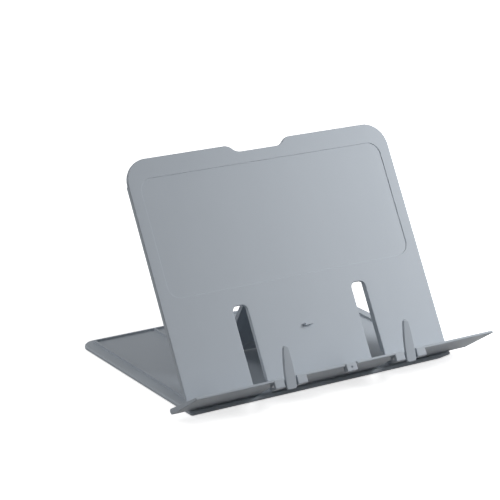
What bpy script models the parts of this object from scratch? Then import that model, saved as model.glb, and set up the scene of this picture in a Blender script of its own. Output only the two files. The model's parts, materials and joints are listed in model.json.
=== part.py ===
import math

import bmesh
import bpy
from mathutils import Matrix, Vector

# A folding stand for an open book. X runs along the ledge, Y to the back, Z up, in metres.
# Base, backrest, ledge, two page clips and a prop leg turn on steel pins.

# Shared fits
gap = 0.0003  # between pieces that touch
overrun = 0.002  # how far a cutter passes its wall, and a joined shape enters its neighbour
knuckle_radius = 0.0026
pin_radius = 0.0011
pin_clearance = 0.00025
lean = math.radians(30.0)  # backrest from the vertical, and the ledge's tilt
round_steps = 24
arc_steps = 5

# Base plate and its feet
base_width = 0.276
base_depth = 0.2018
base_lead = 0.0148  # front edge ahead of the base hinge
base_thickness = 0.0032
base_chamfer = 0.0011
base_lower_edge = 0.0003
base_left_radius = 0.002
base_right_cut_width = 0.015  # the right front corner runs back at a slant
base_right_cut_depth = 0.0038
base_right_bend = 0.020
base_right_radius = 0.0015
base_rear_radius = 0.014
base_rib_height = 0.002
base_rib_width = 0.002
base_rib_inset = 0.012
base_cross_rib_from_rear = 0.005
foot_proud = 0.001
foot_thickness = 0.0016
foot_radius = 0.0065
foot_edge = 0.0004
foot_inset_x = 0.018
foot_inset_front = 0.0183
foot_inset_rear = 0.018

# Base hinge, one on each side
base_hinge_offset = 0.098
base_ear_width = 0.008
base_knuckle_width = 0.020
base_ear_flare = 0.006

# Backrest panel
panel_width = 0.274
panel_height = 0.218
panel_thickness = 0.003
panel_lift = 0.001  # lower edge above the ledge's hinge axis
panel_top_radius = 0.022
panel_low_radius = 0.003
panel_front_edge = 0.0008
panel_field_depth = 0.0006
panel_field_inset = 0.011
panel_field_low = 0.088
panel_field_radius = 0.012
panel_rib_depth = 0.0028
panel_rib_width = 0.0022
panel_cross_rib_low = 0.080
panel_cross_rib_high = 0.150
thumb_notch_width = 0.060
thumb_notch_depth = 0.007

# Ledge
ledge_width = 0.310
ledge_depth = 0.047  # hinge axis to rim
ledge_thickness = 0.0022
ledge_corner = 0.0015
ledge_edge = 0.0004
ledge_hinge_inset = 0.025  # outer hinges' centres from the panel's sides
ledge_ear_width = 0.008
ledge_knuckle_width = 0.024
stop_toe_reach = 0.0065

# Page clips, their slots and bosses
clip_offset = 0.0625  # clip centre from the middle of the ledge
clip_tilt = math.radians(12.6)  # tip forward of the ledge's normal
clip_above = 0.0316  # pin axis to tip
clip_below = 0.0053
clip_width = 0.0100
clip_tip_width = 0.0054
clip_thickness = 0.0028
clip_standoff = 0.0019  # pin axis to the clip's back face
clip_hub_radius = 0.0023
clip_corner = 0.0014
clip_edge = 0.0005
slot_width = 0.0135
slot_end = 0.0095  # slot's rear end from the hinge axis
slot_skin = 0.0011  # what is left over the channel behind the slot
boss_width = 0.0095
boss_height = 0.0084
boss_depth = 0.0084
boss_proud = 0.00015
boss_corner = 0.0012
boss_edge = 0.0004
washer_radius = 0.0022

# Slots in the panel that the standing clips pass into
panel_slot_margin = 0.0005
panel_slot_clearance = 0.003
panel_slot_radius = 0.005

# Catch at the middle of the rim
catch_width = 0.0107
catch_height = 0.0070
catch_depth = 0.0058
catch_edge = 0.0005
catch_fin_reach = 0.0010
catch_fin_height = 0.0008
catch_dimple_radius = 0.0009
catch_dimple_depth = 0.0012
catch_lug_width = 0.008
catch_lug_height = 0.0022
catch_lug_reach = 0.0034

# Prop leg, its rods and the notches in the base
prop_length = 0.088
prop_width = 0.088
prop_thickness = 0.0044
prop_border = 0.008
prop_web = 0.0018
prop_rod_radius = 0.0015
prop_lug_width = 0.005
prop_lug_flare = 0.008
prop_cap_radius = 0.0027
prop_cap_thickness = 0.0018
prop_foot_radius = 0.0022
foot_rod_radius = 0.0013
foot_sleeve_length = 0.0060
notch_count = 5
notch_step = math.radians(8.0)
notch_depth = 0.0009
rack_margin = 0.0015
rack_run = 0.008
rack_edge = 0.0002

# Places that follow from the sizes
base_top = foot_proud + base_thickness
hinge_height = base_top + gap + knuckle_radius
panel_rear = -(knuckle_radius + gap)
panel_front = panel_rear - panel_thickness
ledge_axis_y = panel_front - gap - knuckle_radius
ledge_axis_z = ledge_axis_y * math.tan(lean)  # keeps both hinge axes at one height
panel_low = ledge_axis_z + panel_lift
panel_high = panel_low + panel_height
ledge_top = knuckle_radius
ledge_under = ledge_top - ledge_thickness
ledge_rear = -(knuckle_radius + gap)
ledge_front = -ledge_depth
clip_face = clip_standoff + clip_thickness
clip_pin_y = ledge_front + clip_face
clip_pin_z = ledge_top - clip_face
boss_low = ledge_top - boss_height
bore_radius = pin_radius + pin_clearance
prop_bore_radius = prop_rod_radius + pin_clearance
foot_bore_radius = foot_rod_radius + pin_clearance
rack_top = hinge_height - prop_foot_radius - gap
base_rear = base_depth - base_lead
ledge_hinge_offset = panel_width / 2 - ledge_hinge_inset
front_reach = (
    -ledge_axis_y * math.cos(lean)
    - ledge_axis_z * math.sin(lean)
    - clip_pin_y * math.cos(lean)
    - clip_pin_z * math.sin(lean)
    + clip_face * math.cos(lean - clip_tilt)
    + clip_below * math.sin(lean - clip_tilt)
)


# Scene, collections and materials

def clear_scene():
    for thing in list(bpy.data.objects):
        bpy.data.objects.remove(thing, do_unlink=True)


def new_collection(name):
    made = bpy.data.collections.new(name)
    bpy.context.scene.collection.children.link(made)
    return made


def new_material(name, colour, roughness, metallic):
    made = bpy.data.materials.new(name)
    made.use_nodes = True
    shader = made.node_tree.nodes["Principled BSDF"]
    shader.inputs["Base Color"].default_value = (*colour, 1.0)
    shader.inputs["Roughness"].default_value = roughness
    shader.inputs["Metallic"].default_value = metallic
    made.diffuse_color = (*colour, 1.0)
    return made


clear_scene()
stand_parts = new_collection("document_holder")
cutters = new_collection("cutters")
cutters.hide_render = True
platinum = new_material("platinum_plastic", (0.47, 0.50, 0.53), 0.45, 0.0)
steel = new_material("bright_steel", (0.62, 0.63, 0.65), 0.3, 1.0)
rubber = new_material("black_rubber", (0.03, 0.03, 0.03), 0.85, 0.0)
nylon = new_material("dark_nylon", (0.05, 0.055, 0.06), 0.55, 0.0)


# Frames: each is an empty on a joint's axis

def new_frame(name, parent, place, turn):
    empty = bpy.data.objects.new(name, None)
    stand_parts.objects.link(empty)
    empty.parent = parent
    empty.location = place
    empty.rotation_euler = (turn, 0.0, 0.0)
    return empty


def piece(name, mesh, frame, material):
    mesh.name = name
    made = bpy.data.objects.new(name, mesh)
    stand_parts.objects.link(made)
    made.parent = frame
    mesh.materials.append(material)
    mesh.shade_smooth()
    mesh.set_sharp_from_angle(angle=math.radians(35.0))
    return made


def boolean(target, mesh, operation):
    tool = bpy.data.objects.new("tool_" + target.name, mesh)
    cutters.objects.link(tool)
    tool.parent = target.parent
    tool.hide_render = True
    tool.display_type = "WIRE"
    modifier = target.modifiers.new(operation.lower(), "BOOLEAN")
    modifier.object = tool
    modifier.operation = operation
    modifier.solver = "EXACT"


def join(target, *meshes):
    for mesh in meshes:
        boolean(target, mesh, "UNION")


def cut(target, *meshes):
    for mesh in meshes:
        boolean(target, mesh, "DIFFERENCE")


# Shapes

def arc(centre, radius, start, end, steps):
    angles = [start + (end - start) * i / steps for i in range(steps + 1)]
    return [(centre[0] + radius * math.cos(a), centre[1] + radius * math.sin(a)) for a in angles]


def rounded(corners):
    """A closed outline whose corners (a, b, radius) become arcs."""
    outline = []
    for i, (a, b, radius) in enumerate(corners):
        here = Vector((a, b))
        if radius == 0:
            outline.append((a, b))
            continue
        before = (Vector(corners[i - 1][:2]) - here).normalized()
        after = (Vector(corners[(i + 1) % len(corners)][:2]) - here).normalized()
        half = before.angle(after) / 2
        centre = here + (before + after).normalized() * radius / math.sin(half)
        first = here + before * radius / math.tan(half) - centre
        last = here + after * radius / math.tan(half) - centre
        start = math.atan2(first.y, first.x)
        sweep = first.angle_signed(last)
        outline += arc(centre, radius, start, start - sweep, arc_steps)
    return outline


def bevel_mesh(mesh, chosen, width, segments):
    """Bevels the edges for which chosen(first, second) is true."""
    shape = bmesh.new()
    shape.from_mesh(mesh)
    edges = [e for e in shape.edges if chosen(e.verts[0].co, e.verts[1].co)]
    bmesh.ops.bevel(
        shape, geom=edges, offset=width, segments=segments, profile=0.5, affect="EDGES"
    )
    shape.to_mesh(mesh)
    shape.free()
    return mesh


def extruded(outline, low, high, edge, segments):
    """A flat outline made a slab from low to high on its own Z, with both rims rounded by edge."""
    curve = bpy.data.curves.new("outline", "CURVE")
    curve.dimensions = "2D"
    curve.fill_mode = "BOTH"
    curve.extrude = (high - low) / 2
    spline = curve.splines.new("POLY")
    spline.points.add(len(outline) - 1)
    for point, (a, b) in zip(spline.points, outline):
        point.co = (a, b, 0.0, 1.0)
    spline.use_cyclic_u = True
    guide = bpy.data.objects.new("outline", curve)
    cutters.objects.link(guide)
    graph = bpy.context.evaluated_depsgraph_get()
    mesh = bpy.data.meshes.new_from_object(guide.evaluated_get(graph))
    bpy.data.objects.remove(guide, do_unlink=True)
    shape = bmesh.new()
    shape.from_mesh(mesh)
    bmesh.ops.remove_doubles(shape, verts=shape.verts, dist=gap / 100)
    bmesh.ops.dissolve_limit(
        shape, angle_limit=math.radians(1.0), verts=shape.verts, edges=shape.edges
    )
    bmesh.ops.recalc_face_normals(shape, faces=shape.faces)
    shape.to_mesh(mesh)
    shape.free()
    mesh.transform(Matrix.Translation((0.0, 0.0, (low + high) / 2)))
    if edge > 0:
        bevel_mesh(mesh, lambda p, q: abs(p.z - q.z) < edge / 10, edge, segments)
    return mesh


def side_slab(outline, low, high, edge=0.0, segments=1):
    """An outline in (y, z), from low to high on X."""
    mesh = extruded(outline, low, high, edge, segments)
    mesh.transform(Matrix(((0, 0, 1, 0), (1, 0, 0, 0), (0, 1, 0, 0), (0, 0, 0, 1))))
    return mesh


def front_slab(outline, low, high, edge=0.0, segments=1):
    """An outline in (x, z), from low to high on Y."""
    mesh = extruded(outline, -high, -low, edge, segments)
    mesh.transform(Matrix(((1, 0, 0, 0), (0, 0, -1, 0), (0, 1, 0, 0), (0, 0, 0, 1))))
    return mesh


def block(x, y, z, edge=0.0, segments=1):
    """A box over the ranges x, y and z, with all its edges rounded by edge."""
    shape = bmesh.new()
    bmesh.ops.create_cube(shape, size=1.0)
    size = Vector((x[1] - x[0], y[1] - y[0], z[1] - z[0]))
    middle = Vector((sum(x), sum(y), sum(z))) / 2
    bmesh.ops.scale(shape, vec=size, verts=shape.verts)
    bmesh.ops.translate(shape, vec=middle, verts=shape.verts)
    if edge > 0:
        bmesh.ops.bevel(
            shape, geom=shape.edges[:], offset=edge, segments=segments, profile=0.5, affect="EDGES"
        )
    mesh = bpy.data.meshes.new("block")
    shape.to_mesh(mesh)
    shape.free()
    return mesh


def rod(radius, low, high, y, z, edge=0.0):
    """A round bar along X."""
    shape = bmesh.new()
    bmesh.ops.create_cone(
        shape,
        cap_ends=True,
        segments=round_steps,
        radius1=radius,
        radius2=radius,
        depth=high - low,
        matrix=Matrix.Rotation(math.pi / 2, 4, "Y"),
    )
    bmesh.ops.translate(shape, vec=((low + high) / 2, y, z), verts=shape.verts)
    mesh = bpy.data.meshes.new("rod")
    shape.to_mesh(mesh)
    shape.free()
    if edge > 0:
        bevel_mesh(mesh, lambda p, q: abs(p.x - q.x) < edge / 10, edge, 1)
    return mesh


def disc(radius, low, high, x, y, edge=0.0):
    """A round pad on Z."""
    shape = bmesh.new()
    bmesh.ops.create_cone(
        shape, cap_ends=True, segments=round_steps, radius1=radius, radius2=radius, depth=high - low
    )
    bmesh.ops.translate(shape, vec=(x, y, (low + high) / 2), verts=shape.verts)
    mesh = bpy.data.meshes.new("disc")
    shape.to_mesh(mesh)
    shape.free()
    if edge > 0:
        bevel_mesh(mesh, lambda p, q: abs(p.z - q.z) < edge / 10, edge, 1)
    return mesh


def sides():
    return (("left", -1), ("right", 1))


def span(centre, low, high):
    """The range from low to high beside a centre, kept in order for either side."""
    return tuple(sorted((centre + low, centre + high)))


# Base plate, feet and base hinge pins

def notch_places():
    upright = math.pi / 2 - lean
    return [2 * prop_length * math.cos(upright - i * notch_step) for i in range(notch_count)]


def base_ear(low, high):
    """A bearing ear: its barrel on the hinge axis, and a foot that flares to the back."""
    foot = side_slab(
        [
            (-knuckle_radius, hinge_height),
            (-knuckle_radius, base_top - base_thickness / 2),
            (knuckle_radius + base_ear_flare, base_top - base_thickness / 2),
            (knuckle_radius + base_ear_flare, base_top),
            (knuckle_radius, hinge_height),
        ],
        low,
        high,
    )
    barrel = rod(knuckle_radius, low - gap / 10, high + gap / 10, 0.0, hinge_height)
    return foot, barrel


def make_base(frame):
    half = base_width / 2
    outline = rounded(
        [
            (-half, -base_lead, base_left_radius),
            (half - base_right_cut_width, -base_lead, base_right_bend),
            (half, base_right_cut_depth - base_lead, base_right_radius),
            (half, base_rear, base_rear_radius),
            (-half, base_rear, base_rear_radius),
        ]
    )
    mesh = extruded(outline, foot_proud, base_top, 0.0, 1)
    bevel_mesh(mesh, lambda p, q: min(p.z, q.z) > base_top - gap, base_chamfer, 1)
    bevel_mesh(mesh, lambda p, q: max(p.z, q.z) < foot_proud + gap, base_lower_edge, 1)
    plate = piece("base_plate", mesh, frame, platinum)

    rib_top = base_top + base_rib_height
    rib_base = base_top - base_thickness / 2
    rib_x = half - base_rib_inset
    rib_low = knuckle_radius + base_ear_flare + base_rib_width
    rib_high = base_rear - base_cross_rib_from_rear
    for _, side in sides():
        for centre in (rib_x, clip_offset):
            strip = span(side * centre, -base_rib_width / 2, base_rib_width / 2)
            join(plate, block(strip, (rib_low, rib_high), (rib_base, rib_top)))
    across = rib_x + base_rib_width / 2
    rear_rib = (rib_high - base_rib_width, rib_high)
    join(plate, block((-across, across), rear_rib, (rib_base, rib_top)))

    places = notch_places()
    rack_y = (places[0] - rack_run, places[-1] + rack_run)
    sleeve_middle = prop_width / 2 + gap + foot_sleeve_length / 2
    half_rack = foot_sleeve_length / 2 + rack_margin
    for _, side in sides():
        strip = span(side * sleeve_middle, -half_rack, half_rack)
        join(plate, block(strip, rack_y, (rib_base, rack_top), rack_edge))
        groove_radius = prop_foot_radius + gap
        groove_z = rack_top - notch_depth + groove_radius
        wide = span(side * sleeve_middle, -half_rack - overrun, half_rack + overrun)
        for y in places:
            cut(plate, rod(groove_radius, *wide, y, groove_z))

    inner = base_knuckle_width / 2 + gap
    for _, side in sides():
        for low, high in ((-inner - base_ear_width, -inner), (inner, inner + base_ear_width)):
            ear = base_ear(*span(side * base_hinge_offset, low, high))
            join(plate, *ear)
        reach = inner + base_ear_width + overrun
        bore = span(side * base_hinge_offset, -reach, reach)
        cut(plate, rod(bore_radius, *bore, 0.0, hinge_height))

    pocket_top = foot_thickness + gap
    for place, x, y in foot_places():
        cut(plate, disc(foot_radius + gap, foot_proud - overrun, pocket_top, x, y))
        pad = disc(foot_radius, 0.0, foot_thickness, x, y, foot_edge)
        piece("rubber_foot_" + place, pad, frame, rubber)

    for name, side in sides():
        half_pin = inner + base_ear_width
        reach = span(side * base_hinge_offset, -half_pin, half_pin)
        pin = rod(pin_radius, *reach, 0.0, hinge_height, pin_clearance)
        piece("base_hinge_pin_" + name, pin, frame, steel)


def foot_places():
    x = base_width / 2 - foot_inset_x
    rows = (
        ("front", foot_inset_front - base_lead),
        ("rear", base_rear - foot_inset_rear),
    )
    return [(row + "_" + name, side * x, y) for row, y in rows for name, side in sides()]


# Backrest panel with its knuckles, prop lugs and catch lug, in the backrest's frame

def above_base(y):
    """The lowest z at depth y that still clears the base plate in use."""
    return (base_top + 2 * gap - hinge_height + y * math.sin(lean)) / math.cos(lean)


def ledge_bracket(low, high):
    """Carries the ledge's pin, with a toe that the ledge rests on, level with its underside."""
    arm = side_slab(
        [
            (ledge_axis_y, above_base(ledge_axis_y)),
            (panel_rear - gap, above_base(panel_rear)),
            (panel_rear - gap, ledge_axis_z + knuckle_radius - gap),
            (ledge_axis_y, ledge_axis_z + knuckle_radius - gap),
        ],
        low,
        high,
    )
    toe_top = ledge_axis_z + ledge_under - gap
    toe_low = ledge_axis_z + gap / 2
    toe = side_slab(
        [
            (ledge_axis_y, toe_top),
            (ledge_axis_y - stop_toe_reach, toe_top),
            (ledge_axis_y - stop_toe_reach, toe_low + underside(-stop_toe_reach)),
            (ledge_axis_y, toe_low + underside(0.0)),
        ],
        low + gap / 10,
        high - gap / 10,
    )
    barrel = rod(knuckle_radius, low - gap / 10, high + gap / 10, ledge_axis_y, ledge_axis_z)
    return arm, toe, barrel


def hinge_sites():
    return (("left", -ledge_hinge_offset), ("middle", 0.0), ("right", ledge_hinge_offset))


def panel_outline():
    half = panel_width / 2
    notch = thumb_notch_width / 2
    top = panel_high
    edge = panel_top_radius / 2
    return rounded(
        [
            (-half, panel_low, panel_low_radius),
            (half, panel_low, panel_low_radius),
            (half, top, panel_top_radius),
            (notch, top, edge),
            (notch - thumb_notch_depth, top - thumb_notch_depth, edge),
            (thumb_notch_depth - notch, top - thumb_notch_depth, edge),
            (-notch, top, edge),
            (-half, top, panel_top_radius),
        ]
    )


def make_backrest(frame):
    half = panel_width / 2
    mesh = front_slab(panel_outline(), panel_front, panel_rear)
    front = panel_front + gap / 10
    bevel_mesh(mesh, lambda p, q: max(p.y, q.y) < front, panel_front_edge, 2)
    panel = piece("backrest_panel", mesh, frame, platinum)

    field = half - panel_field_inset
    field_top = panel_high - panel_field_inset - thumb_notch_depth
    corners = [
        (-field, panel_field_low, panel_field_radius),
        (field, panel_field_low, panel_field_radius),
        (field, field_top, panel_field_radius),
        (-field, field_top, panel_field_radius),
    ]
    recess = front_slab(rounded(corners), panel_front - overrun, panel_front + panel_field_depth)
    cut(panel, recess)

    rib_y = (panel_rear - panel_thickness / 2, panel_rear + panel_rib_depth)
    side_rib = half - panel_front_edge - panel_rib_width
    slot_half = slot_width / 2 + panel_slot_margin
    slot_top = clip_reach_on_panel()
    lug_outer = prop_width / 2 + gap + foot_sleeve_length + gap
    inner_rib = lug_outer + panel_rib_width
    rib_top = panel_high - panel_top_radius
    cross_low = panel_cross_rib_low
    for _, side in sides():
        outer = span(side * side_rib, 0.0, side * panel_rib_width)
        join(panel, block(outer, (rib_y[0], rib_y[1]), (base_ear_flare, rib_top)))
        by_slot = span(side * (clip_offset + slot_half), 0.0, side * panel_rib_width)
        join(panel, block(by_slot, rib_y, (base_ear_flare, cross_low)))
        inner = span(side * inner_rib, -panel_rib_width / 2, panel_rib_width / 2)
        join(panel, block(inner, rib_y, (base_ear_flare, rib_top)))
        across = span(0.0, side * inner_rib, side * (side_rib + panel_rib_width / 2))
        for z in (cross_low, panel_cross_rib_high, rib_top - panel_rib_width):
            join(panel, block(across, rib_y, (z, z + panel_rib_width)))
    middle = (-inner_rib, inner_rib)
    join(panel, block(middle, rib_y, (rib_top - panel_rib_width, rib_top)))

    for _, side in sides():
        x = span(side * base_hinge_offset, -base_knuckle_width / 2, base_knuckle_width / 2)
        web = block(x, (panel_rear - panel_thickness / 2, 0.0), (-knuckle_radius, knuckle_radius))
        barrel = rod(knuckle_radius, x[0] - gap / 10, x[1] + gap / 10, 0.0, 0.0)
        join(panel, web, barrel)
        cut(panel, rod(bore_radius, x[0] - overrun, x[1] + overrun, 0.0, 0.0))

    inner = ledge_knuckle_width / 2 + gap
    for _, centre in hinge_sites():
        for low, high in ((-inner - ledge_ear_width, -inner), (inner, inner + ledge_ear_width)):
            join(panel, *ledge_bracket(centre + low, centre + high))
        reach = inner + ledge_ear_width + overrun
        bore = rod(bore_radius, centre - reach, centre + reach, ledge_axis_y, ledge_axis_z)
        cut(panel, bore)

    lug_in = prop_width / 2 + gap
    for _, side in sides():
        x = span(0.0, side * lug_in, side * (lug_in + prop_lug_width))
        web = side_slab(
            [
                (panel_rear - panel_thickness / 2, prop_length - prop_lug_flare),
                (panel_rear, prop_length - prop_lug_flare),
                (0.0, prop_length - knuckle_radius),
                (0.0, prop_length + knuckle_radius),
                (panel_rear, prop_length + prop_lug_flare),
                (panel_rear - panel_thickness / 2, prop_length + prop_lug_flare),
            ],
            *x,
        )
        barrel = rod(knuckle_radius, x[0] - gap / 10, x[1] + gap / 10, 0.0, prop_length)
        join(panel, web, barrel)
        cut(panel, rod(prop_bore_radius, x[0] - overrun, x[1] + overrun, 0.0, prop_length))

    lug_z = ledge_axis_z + ledge_depth + boss_proud + 2 * gap
    lug_y = (panel_front - catch_lug_reach, panel_front + panel_thickness / 2)
    lug_x = (-catch_lug_width / 2, catch_lug_width / 2)
    join(panel, block(lug_x, lug_y, (lug_z, lug_z + catch_lug_height), catch_edge))

    for _, side in sides():
        x = span(side * clip_offset, -slot_half, slot_half)
        opening = rounded(
            [
                (x[0], panel_low - overrun, 0),
                (x[1], panel_low - overrun, 0),
                (x[1], slot_top, panel_slot_radius),
                (x[0], slot_top, panel_slot_radius),
            ]
        )
        cut(panel, front_slab(opening, panel_front - overrun, panel_rear + overrun))

    half_pin = inner + ledge_ear_width
    for name, centre in hinge_sites():
        pin = rod(pin_radius, centre - half_pin, centre + half_pin, ledge_axis_y, ledge_axis_z, pin_clearance)
        piece("ledge_hinge_pin_" + name, pin, frame, steel)
    half_rod = lug_in + prop_lug_width + prop_cap_thickness
    bar = rod(prop_rod_radius, -half_rod, half_rod, 0.0, prop_length, pin_clearance)
    piece("prop_hinge_rod", bar, frame, steel)
    for name, side in sides():
        x = span(side * (lug_in + prop_lug_width + gap), 0.0, side * prop_cap_thickness)
        cap = piece(
            "prop_rod_cap_" + name,
            rod(prop_cap_radius, *x, 0.0, prop_length, prop_rod_radius / 4),
            frame,
            nylon,
        )
        cut(cap, rod(prop_bore_radius, x[0] - overrun, x[1] + overrun, 0.0, prop_length))


def clip_reach_on_panel():
    """Where a clip laid along the folded ledge would end on the panel, with room to spare."""
    return ledge_axis_z - clip_pin_y + clip_above + panel_slot_clearance


# Ledge with its bosses, in the ledge's frame: -Y runs out to the rim and +Z is its top

def bead_tangent():
    """Where a straight line from the rim's lower edge touches the bead on the hinge axis."""
    from_rim = math.atan2(ledge_under, ledge_front)
    angle = from_rim + math.acos(knuckle_radius / math.hypot(ledge_front, ledge_under))
    return angle, knuckle_radius * math.cos(angle), knuckle_radius * math.sin(angle)


def underside(y):
    """The height of the ledge's flat underside at depth y."""
    _, tangent_y, tangent_z = bead_tangent()
    return ledge_under + (tangent_z - ledge_under) * (y - ledge_front) / (tangent_y - ledge_front)


def ledge_section():
    """From the side: a flat top, a round bead on the hinge axis, and a flat underside."""
    angle, _, _ = bead_tangent()
    bead = arc((0.0, 0.0), knuckle_radius, angle, 2.5 * math.pi, 2 * arc_steps)
    corners = [(y, z, 0.0) for y, z in bead]
    corners.append((ledge_front, ledge_top, ledge_edge))
    corners.append((ledge_front, ledge_under, ledge_edge))
    return rounded(corners)


def rim_corner(side):
    """What is cut off to round the ledge's front corner."""
    outer = ledge_width / 2 + overrun
    middle = (ledge_width / 2 - ledge_corner + gap / 5, ledge_front + ledge_corner - gap / 5)
    bend = arc(middle, ledge_corner, 0.0, -math.pi / 2, arc_steps)
    outside = [
        (middle[0], ledge_front - overrun),
        (outer, ledge_front - overrun),
        (outer, middle[1]),
    ]
    outline = [(side * x, y) for x, y in bend + outside]
    return extruded(outline, -overrun, ledge_top + overrun, 0.0, 1)


def ear_notch(low, high):
    """Room in the ledge for one of the backrest's ears and its toe."""
    toe_room = -stop_toe_reach - gap
    rear = knuckle_radius + overrun
    return side_slab(
        [
            (toe_room, -rear),
            (rear, -rear),
            (rear, ledge_top + overrun),
            (ledge_rear, ledge_top + overrun),
            (ledge_rear, ledge_under),
            (toe_room, ledge_under),
        ],
        low,
        high,
    )


def make_ledge(frame):
    half = ledge_width / 2
    section = side_slab(ledge_section(), -half, half, ledge_edge / 2)
    tray = piece("ledge_tray", section, frame, platinum)
    cut(tray, rim_corner(-1), rim_corner(1))
    half_knuckle = ledge_knuckle_width / 2
    notch_end = half_knuckle + ledge_ear_width + 2 * gap
    for _, centre in hinge_sites():
        for _, hand in sides():
            cut(tray, ear_notch(*span(centre, hand * half_knuckle, hand * notch_end)))
        reach = half_knuckle + overrun
        cut(tray, rod(bore_radius, centre - reach, centre + reach, 0.0, 0.0))

    slot_half = slot_width / 2
    boss_front = ledge_front - boss_proud
    boss_rear = boss_front + boss_depth
    for _, side in sides():
        for _, hand in sides():
            centre = side * clip_offset
            x = span(centre, hand * (slot_half - overrun / 2), hand * (slot_half + boss_width))
            shape = side_slab(
                rounded(
                    [
                        (boss_front, boss_low, boss_corner),
                        (boss_rear, boss_low, boss_corner),
                        (boss_rear, ledge_top - boss_edge, 0),
                        (boss_front, ledge_top - boss_edge, 0),
                    ]
                ),
                *x,
                boss_edge,
                2,
            )
            join(tray, shape)
    for _, side in sides():
        x = span(side * clip_offset, -slot_half, slot_half)
        through = (boss_low - overrun, ledge_top + overrun)
        cut(tray, block(x, (ledge_front - overrun, -slot_end), through))
        channel = (-knuckle_radius - overrun, ledge_top - slot_skin)
        cut(tray, block(x, (-slot_end - overrun, knuckle_radius + overrun), channel))
        reach = slot_half + boss_width + overrun
        bore = span(side * clip_offset, -reach, reach)
        cut(tray, rod(bore_radius, *bore, clip_pin_y, clip_pin_z))

    seat = catch_width / 2 + gap
    seat_rear = boss_front + catch_depth + gap
    tall = (ledge_under - overrun, ledge_top + overrun)
    cut(tray, block((-seat, seat), (ledge_front - overrun, seat_rear), tall))
    fin_middle = (ledge_under + ledge_top) / 2
    groove = catch_fin_height / 2 + gap
    wide = seat + catch_fin_reach
    groove_z = (fin_middle - groove, fin_middle + groove)
    cut(tray, block((-wide, wide), (ledge_front - overrun, seat_rear), groove_z))

    high = ledge_top - gap
    low = high - catch_height
    x = (-catch_width / 2, catch_width / 2)
    body = block(x, (boss_front, boss_front + catch_depth), (low, high), catch_edge, 2)
    catch = piece("catch_block", body, frame, platinum)
    reach = catch_width / 2 + catch_fin_reach
    fin_z = (fin_middle - catch_fin_height / 2, fin_middle + catch_fin_height / 2)
    fin_y = (ledge_front + catch_edge + gap, boss_front + catch_depth - catch_edge - gap)
    join(catch, block((-reach, reach), fin_y, fin_z))
    dimple = extruded(
        arc((0.0, (low + high) / 2), catch_dimple_radius, 0.0, 2 * math.pi * 11 / 12, 11),
        -boss_front - catch_dimple_depth,
        -boss_front + overrun,
        0.0,
        1,
    )
    dimple.transform(Matrix(((1, 0, 0, 0), (0, 0, -1, 0), (0, 1, 0, 0), (0, 0, 0, 1))))
    cut(catch, dimple)

    washer_low = clip_width / 2 + gap
    washer_high = slot_half - gap
    half_pin = slot_half + boss_width
    for name, side in sides():
        x = span(side * clip_offset, -half_pin, half_pin)
        pin = rod(pin_radius, *x, clip_pin_y, clip_pin_z, pin_clearance)
        piece("clip_pin_" + name, pin, frame, steel)
        for hand_name, hand in sides():
            x = span(side * clip_offset, hand * washer_low, hand * washer_high)
            washer = piece(
                "clip_washer_" + name + "_" + hand_name,
                rod(washer_radius, *x, clip_pin_y, clip_pin_z),
                frame,
                nylon,
            )
            through = (x[0] - overrun, x[1] + overrun)
            cut(washer, rod(bore_radius, *through, clip_pin_y, clip_pin_z))


# Page clip, in its own frame: the pin is at the origin and +Z runs to the tip

def clip_outline():
    wide = clip_width / 2
    tip = clip_tip_width / 2
    shoulder = clip_above - tip
    return [
        *arc((-wide + clip_corner, -clip_below + clip_corner), clip_corner, math.pi, 1.5 * math.pi, 3),
        *arc((wide - clip_corner, -clip_below + clip_corner), clip_corner, -0.5 * math.pi, 0.0, 3),
        (wide, 0.0),
        *[(clip_half_width(share), share * shoulder) for share in (0.2, 0.4, 0.6, 0.8)],
        *arc((0.0, shoulder), tip, 0.0, math.pi, 8),
        *[(-clip_half_width(share), share * shoulder) for share in (0.8, 0.6, 0.4, 0.2)],
        (-wide, 0.0),
    ]


def clip_half_width(share):
    """The taper from the hub to the tip, a little fuller than a straight line."""
    fullness_share = 1.7
    return (clip_width + (clip_tip_width - clip_width) * share**fullness_share) / 2


def make_clip(name, frame):
    blade = front_slab(clip_outline(), -clip_face, -clip_standoff, clip_edge, 2)
    clip = piece("page_clip_" + name, blade, frame, platinum)
    half = clip_width / 2 - clip_edge
    hub_z = (-clip_hub_radius, clip_hub_radius)
    web = block((-half, half), (-clip_standoff - clip_thickness / 2, 0.0), hub_z)
    barrel = rod(clip_hub_radius, -clip_width / 2, clip_width / 2, 0.0, 0.0)
    join(clip, web, barrel)
    reach = clip_width / 2 + overrun
    cut(clip, rod(bore_radius, -reach, reach, 0.0, 0.0))


# Prop leg, in its own frame: the hinge rod is at the origin and the leg hangs down -Z

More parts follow.
